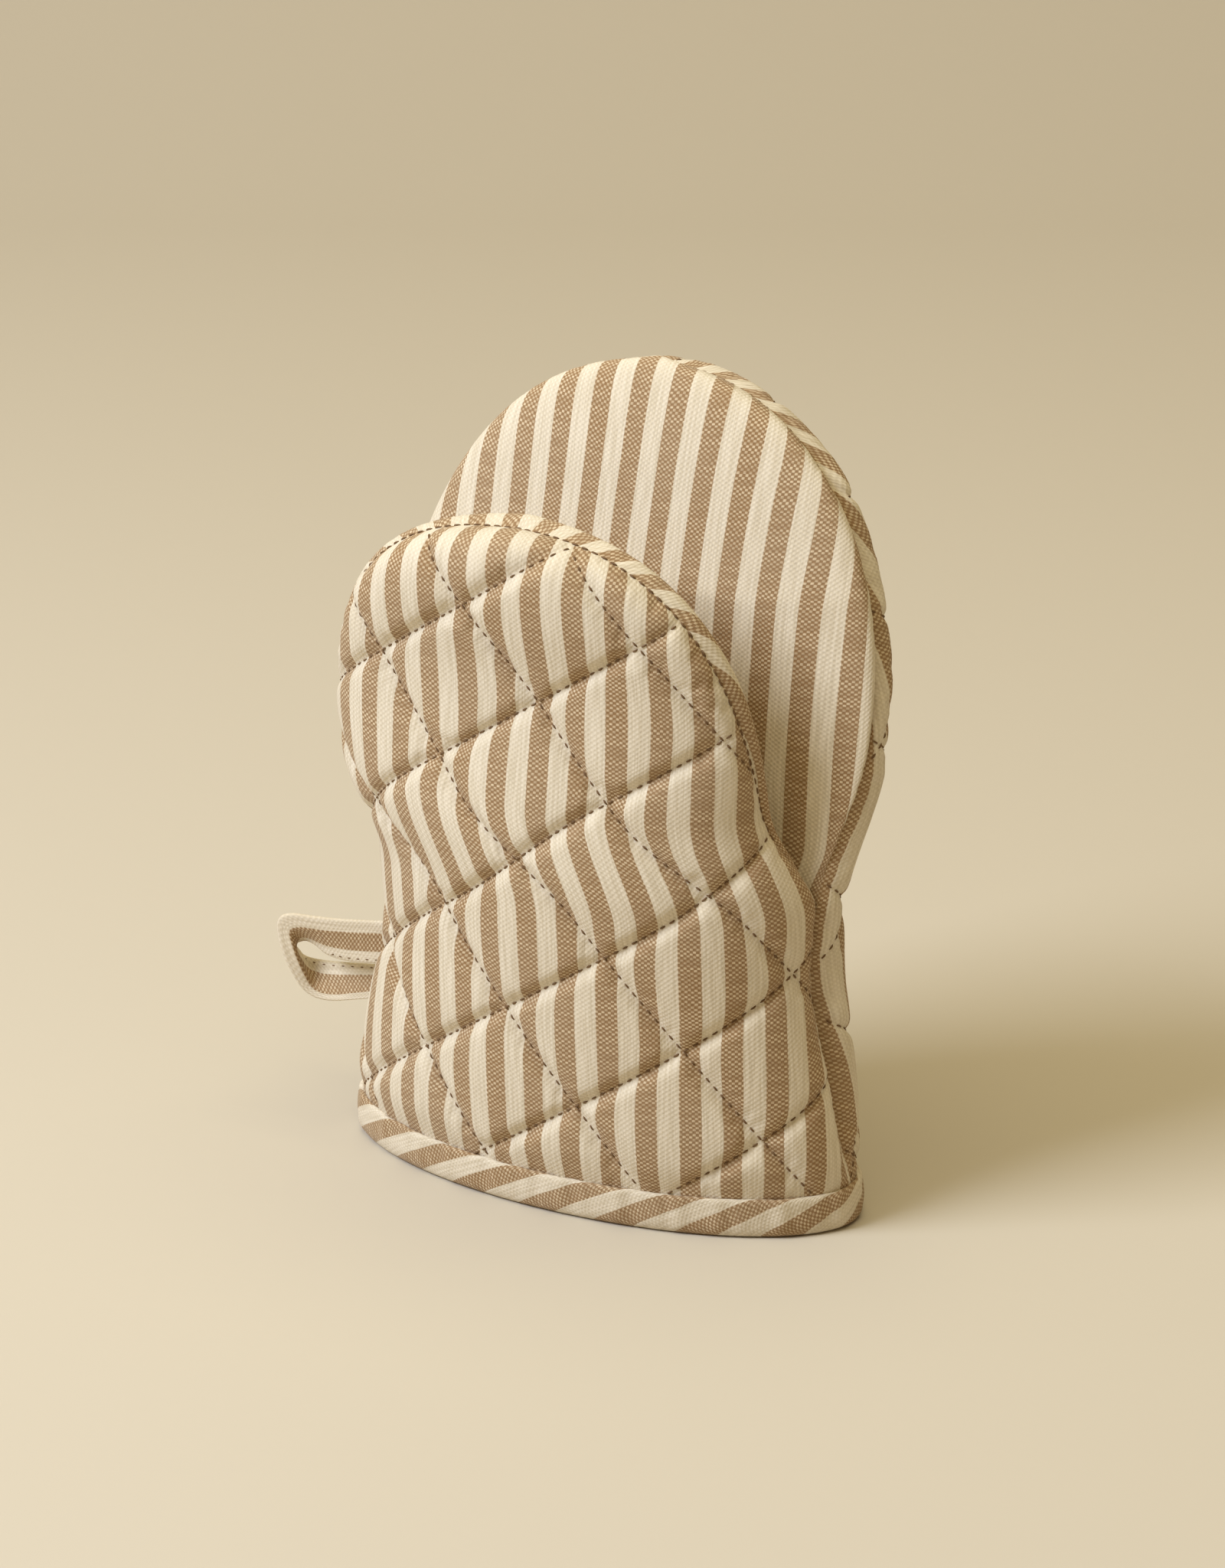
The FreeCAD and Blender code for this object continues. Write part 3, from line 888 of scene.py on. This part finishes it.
def rounded_line(corners):
    """Straight runs between corners, with each corner turned along a parabola."""
    corners = np.array(corners)
    line, before = [], corners[0]
    for i in range(1, len(corners) - 1):
        corner = corners[i]
        start = corner + LOOP_CUT * (corners[i - 1] - corner)
        end = corner + LOOP_CUT * (corners[i + 1] - corner)
        line += [before + (start - before) * t for t in np.linspace(0.0, 1.0, LOOP_ARC)[:-1]]
        for t in np.linspace(0.0, 1.0, LOOP_ARC)[:-1]:
            line.append((1.0 - t) ** 2 * start + 2.0 * t * (1.0 - t) * corner + t * t * end)
        before = end
    line += [before + (corners[-1] - before) * t for t in np.linspace(0.0, 1.0, LOOP_ARC)]
    return np.array(line)


def loop_lines():
    """The tape's outer edge, the inside of its first cream stripe, and its inner edge.

    Each line has its corners in the same order: front end, start of the tip, upper corner of the tip,
    side of the tip, lower corner of the tip, rear end. The front run hangs flat; at the tip the tape
    turns on edge, its inner edge behind, and the rear run comes back lower down.
    """
    tape = LOOP_CREAM + LOOP_REST
    high = LOOP_TOP - LOOP_DIP
    low = high - LOOP_HANG
    knee = LOOP_KNEE - LOOP_TIP
    outer = [(-LOOP_FRONT, -1.0, LOOP_TOP),
             (knee, -2.5, high),
             (-LOOP_TIP, -LOOP_SWAY - 1.0, high),
             (1.0 - LOOP_TIP, -LOOP_SWAY - 0.5, high - 0.45 * LOOP_HANG),
             (6.7 - LOOP_TIP, -1.0, low),
             (-LOOP_REAR, 1.5, low + LOOP_LIFT)]
    fold = [(-LOOP_FRONT, -1.0, LOOP_TOP - LOOP_CREAM),
            (knee, -2.5, high - LOOP_CREAM),
            (2.7 - LOOP_TIP, -LOOP_SWAY - 0.5, high - LOOP_CREAM),
            (5.0 - LOOP_TIP, -LOOP_SWAY, high - 0.5 * LOOP_HANG),
            (8.0 - LOOP_TIP, -0.5, low + 1.4),
            (-LOOP_REAR, 1.5, low + LOOP_LIFT + 2.0)]
    inner = [(-LOOP_FRONT, -1.0, LOOP_TOP - tape),
             (knee, -2.0, high - tape),
             (6.5 - LOOP_TIP, 0.0, high - 0.65 * tape),
             (-1.5 - LOOP_TIP, 2.8, high - tape),
             (2.3 - LOOP_TIP, LOOP_SWAY + 0.7, high - 1.45 * tape),
             (-LOOP_REAR, 2.0, high - tape - 0.3)]
    return [rounded_line(line) for line in (outer, fold, inner)]


def hanging_loop():
    """The folded tape and its topstitches."""
    outer, fold, inner = loop_lines()
    count = len(outer)
    share = np.concatenate([np.linspace(0.0, 1.0, 5), np.linspace(1.0, 2.0, 10)[1:]])
    columns = [outer + (fold - outer) * v if v <= 1.0 else fold + (inner - fold) * (v - 1.0) for v in share]
    face = np.stack(columns, 1)
    across = [LOOP_CREAM * v if v <= 1.0 else LOOP_CREAM + LOOP_REST * (v - 1.0) for v in share]
    out = np.cross(np.gradient(face, axis=0), np.gradient(face, axis=1))
    out /= np.maximum(np.linalg.norm(out, axis=2), 1e-9)[:, :, None]
    half = LOOP_HALF + LOOP_ROLL * np.abs(np.linspace(-1.0, 1.0, len(share))) ** 3
    middle = face[:, len(share) // 2]
    length = np.concatenate([[0.0], np.cumsum(np.linalg.norm(np.diff(middle, axis=0), axis=1))])
    edge = [face[:, 0] + 0.5 * (face[:, 0] - face[:, 1]), face[:, -1] + 0.5 * (face[:, -1] - face[:, -2])]
    top = face + out * half[:, None]
    under = (face - out * half[:, None])[:, ::-1]
    ring = np.concatenate([top, edge[1][:, None], under, edge[0][:, None]], 1)
    cloth = across + [LOOP_CREAM + LOOP_REST] + across[::-1] + [0.0]
    m = len(cloth)
    uvs = [((u - (LOOP_CREAM + LOOP_REST) / 2.0) / UV_MM, at / UV_MM) for at in length for u in cloth]
    faces = []
    for r in range(count - 1):
        for k in range(m):
            faces.append((r * m + k, (r + 1) * m + k, (r + 1) * m + (k + 1) % m, r * m + (k + 1) % m))
    faces.append(tuple(range(m)))
    faces.append(tuple((count - 1) * m + k for k in range(m))[::-1])
    piece = new_object("hanging_loop_tape", ring.reshape(-1, 3), faces, np.array(uvs))
    finish_surface(piece)
    piece.data.materials.append(ticking)
    # topstitching along the inner edge, on the face that looks to the front
    at = np.arange(3.0, length[-1] - 2.0, STITCH_PITCH)
    at = at[(at < LOOP_SEWN[0] * length[-1]) | (at > LOOP_SEWN[1] * length[-1])]
    lane = face[:, -2]
    side = np.where(out[:, -2, 1:2] < 0, 1.0, -1.0) * out[:, -2]
    points, ups = (np.stack([np.interp(at, length, values[:, k]) for k in range(3)], -1)
                   for values in (lane + LOOP_LANE * side, side))
    return piece, stitch_mesh("loop_topstitch", stitches_along(points, ups, LOOP_STITCH), LOOP_THREAD)


loop_tape, loop_thread = hanging_loop()

# ---- linings
LINING_STEP = 4.0
LINING_CLEARANCE = 2.0
LINING_START = 2.0  # the lining ends this high, inside the binding
FOLD_HALF_WIDTH = WAIST_WIDTH - EDGE_INSET * WALL
FOLD_STEPS, FOLD_COLUMNS = 24, 60


def lining(name, point, pocket, palm=False):
    """The lining behind a panel, and its outline in flat coordinates."""
    panel = Panel(point, pocket, WALL, palm)
    outline = panel.outline(LINING_STEP, start=0.0 if palm else LINING_START)
    flat, faces, _ = triangulate(outline, even_grid(LINING_STEP, outline, LINING_CLEARANCE))
    piece = new_object(name, panel.at(flat), faces, flat / UV_MM)
    out = np.mean(normals_of(piece.data)[:, 1]) * pocket["side"]
    if (out > 0) != palm:
        piece.data.flip_normals()
    finish_surface(piece, 2)
    piece.data.materials.append(plain)
    return piece, outline


lining_front, lining_front_cut = lining("lining_front", outer_point, THUMB)
lining_back, lining_back_cut = lining("lining_back", outer_point, FINGER)
lining_thumb_palm, lining_thumb_cut = lining("lining_thumb_palm", palm_point, THUMB, True)
lining_finger_palm, lining_finger_cut = lining("lining_finger_palm", palm_point, FINGER, True)


def crotch_fold():
    """Lining of the palm where it turns under from one pocket to the other."""
    half, steps, columns = FOLD_HALF_WIDTH, FOLD_STEPS, FOLD_COLUMNS
    verts, uvs, faces = [], [], []
    for i in range(steps + 1):
        turn = math.pi * i / steps
        for k in range(columns + 1):
            x = half * (2.0 * k / columns - 1.0)
            verts.append((x, -WALL * math.cos(turn), CUFF_HEIGHT - WALL * math.sin(turn)))
            uvs.append((x / UV_MM, WALL * turn / UV_MM))
    row = columns + 1
    for i in range(steps):
        for k in range(columns):
            faces.append((i * row + k, i * row + k + 1, (i + 1) * row + k + 1, (i + 1) * row + k))
    piece = new_object("lining_crotch_fold", verts, faces, np.array(uvs))
    piece.data.materials.append(plain)
    return piece


fold = crotch_fold()


def bend_with(piece):
    """Bakes the piece's placement into its mesh."""
    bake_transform(piece)


def nodes_named(*starts):
    """CAD nodes whose names begin in one of these ways."""
    return [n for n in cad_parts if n.startswith(starts)]


for piece in (front, front_quilting, lining_front):
    bend_with(piece)
for piece in (back, back_quilting, lining_back):
    bend_with(piece)
for piece in (palm_thumb, thumb_seam, lining_thumb_palm):
    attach(piece, "thumb_pocket")
for piece in (palm_finger, finger_seam, lining_finger_palm):
    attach(piece, "finger_pocket")
for piece in (loop_tape, loop_thread):
    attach(piece, "loop")
for piece in (binding, fold):
    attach(piece, "cuff")

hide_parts(*[n for n in nodes_named("front_", "thumb_outer") if not n.endswith("lining")])
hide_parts(*[n for n in nodes_named("back_", "finger_outer") if not n.endswith("lining")])
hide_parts("thumb_palm_cover", "thumb_palm_wadding")
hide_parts("finger_palm_cover", "finger_palm_wadding", "palm_fold_cover", "palm_fold_wadding")
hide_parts("front_cuff_lining", "front_flex_lining", "thumb_outer_lining")
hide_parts("back_cuff_lining", "back_flex_lining", "finger_outer_lining")
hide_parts("thumb_palm_lining")
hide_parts("finger_palm_lining")
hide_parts("palm_fold_lining")
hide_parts("cuff_binding")
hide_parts("hanging_loop")

# ---- stage, light and camera, in metres
AZIMUTH, ELEVATION = math.radians(30.76), math.radians(19.48)
RIGHT = Vector((math.cos(AZIMUTH), math.sin(AZIMUTH), 0.0))
TOWARDS = Vector((math.sin(AZIMUTH), -math.cos(AZIMUTH), 0.0))

BACKDROP_WIDTH = 6.0
BACKDROP_FRONT = (-3.0, -1.0, 0.6)  # places on the flat floor, away from the camera
BEND_START, BEND_RADIUS, BEND_STEPS = 0.9, 0.9, 24
BACKDROP_HEIGHT = 3.5
PAPER = linear(199, 190, 172)


def backdrop():
    """Floor that curves up into a backdrop behind the mitt, in one sheet."""
    line = [(run, 0.0) for run in BACKDROP_FRONT]
    for i in range(1, BEND_STEPS + 1):
        angle = i / BEND_STEPS * math.pi / 2.0
        line.append((BEND_START + BEND_RADIUS * math.sin(angle), BEND_RADIUS * (1.0 - math.cos(angle))))
    line.append((BEND_START + BEND_RADIUS, BACKDROP_HEIGHT))
    verts, faces = [], []
    for run, rise in line:
        for x in (-BACKDROP_WIDTH / 2, BACKDROP_WIDTH / 2):
            p = RIGHT * x - TOWARDS * run
            verts.append((p.x, p.y, rise))
    for i in range(len(line) - 1):
        faces.append((2 * i, 2 * i + 1, 2 * i + 3, 2 * i + 2))
    piece = new_object("studio_floor", np.array(verts) / MM, faces)
    material, _, shader = base_material("studio_paper", 0.95, 0.0)
    shader.inputs["Base Color"].default_value = PAPER
    piece.data.materials.append(material)


backdrop()

TARGET = Vector((0.0, 0.0, 0.085))
DISTANCE = 1.1
LENS, SENSOR = 113.393, 36.0  # millimetres
SHIFT_X, SHIFT_Y = 0.0048, 0.0186


def add_camera():
    """Camera at the photo's angle."""
    level, up = math.cos(ELEVATION), math.sin(ELEVATION)
    back_vector = Vector((math.sin(AZIMUTH) * level, -math.cos(AZIMUTH) * level, up))
    data = bpy.data.cameras.new("camera")
    data.sensor_width = SENSOR
    data.lens = LENS
    data.shift_x = SHIFT_X
    data.shift_y = SHIFT_Y
    camera = bpy.data.objects.new("camera", data)
    camera.location = TARGET + DISTANCE * back_vector
    camera.rotation_euler = back_vector.to_track_quat("Z", "Y").to_euler()
    scene.collection.objects.link(camera)
    scene.camera = camera


add_camera()

AIM = Vector((0.0, 0.0, 0.08))
KEY_PLACE = -1.2 * RIGHT + 0.5 * TOWARDS + Vector((0.0, 0.0, 1.25))
FILL_PLACE = Vector((0.0, 0.0, 2.0))
KEY_COLOUR = (0.784, 0.849, 1.0)
FILL_COLOUR = (1.0, 0.913, 0.616)
WORLD_COLOUR = (1.0, 0.75, 0.45, 1.0)


def area_light(name, place, size, power, colour):
    """Square light that faces the mitt."""
    data = bpy.data.lights.new(name, "AREA")
    data.shape = "RECTANGLE"
    data.size = data.size_y = size
    data.energy = power
    data.color = colour
    light = bpy.data.objects.new(name, data)
    light.location = place
    light.rotation_euler = (place - AIM).to_track_quat("Z", "Y").to_euler()
    scene.collection.objects.link(light)


area_light("key", KEY_PLACE, 0.8, 33.8, KEY_COLOUR)
area_light("fill", FILL_PLACE, 2.0, 26.3, FILL_COLOUR)

world = bpy.data.worlds.new("studio")
world.use_nodes = True
world.node_tree.nodes["Background"].inputs["Color"].default_value = WORLD_COLOUR
world.node_tree.nodes["Background"].inputs["Strength"].default_value = 0.256
scene.world = world
scene.view_settings.view_transform = "Standard"
